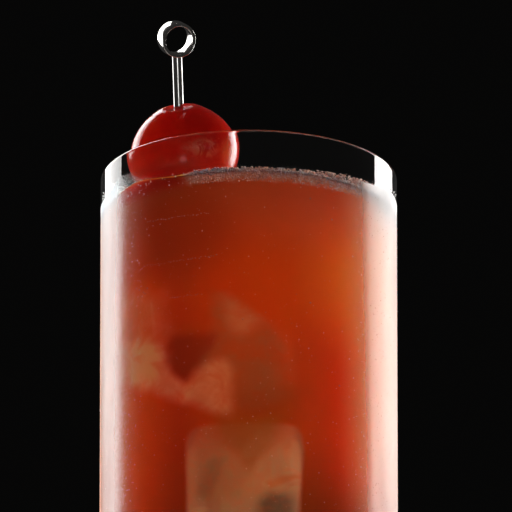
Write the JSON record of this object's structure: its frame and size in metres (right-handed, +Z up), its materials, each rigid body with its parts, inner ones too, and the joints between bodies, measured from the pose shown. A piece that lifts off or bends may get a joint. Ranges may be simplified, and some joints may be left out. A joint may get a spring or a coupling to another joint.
{
  "type": "transfusion cocktail in a highball glass",
  "caption": "Straight highball glass of cloudy red-orange cocktail with a ring of froth, and a round red fruit half above the drink on a steel pick with a ring grip.",
  "frame": {"origin": "middle of the glass's underside, where it stands", "axes": "+Z up along the glass; -Y towards the viewer of the picture, with the fruit at the front left (-X, -Y)"},
  "size_m": [0.065, 0.065, 0.1774],
  "materials": {
    "glass": "clear and polished, misted with fine condensation below the drink's level",
    "drink": "cloudy red-orange liquid, paler and pinker at the edges",
    "froth": "fine pinkish bubbles",
    "fruit": "wet, translucent red skin",
    "steel": "polished stainless steel"
  },
  "bodies": {
    "root": {"glass": "glass", "drink": "drink", "froth": "froth", "fruit": "fruit", "pick": "steel"}
  },
  "joints": []
}
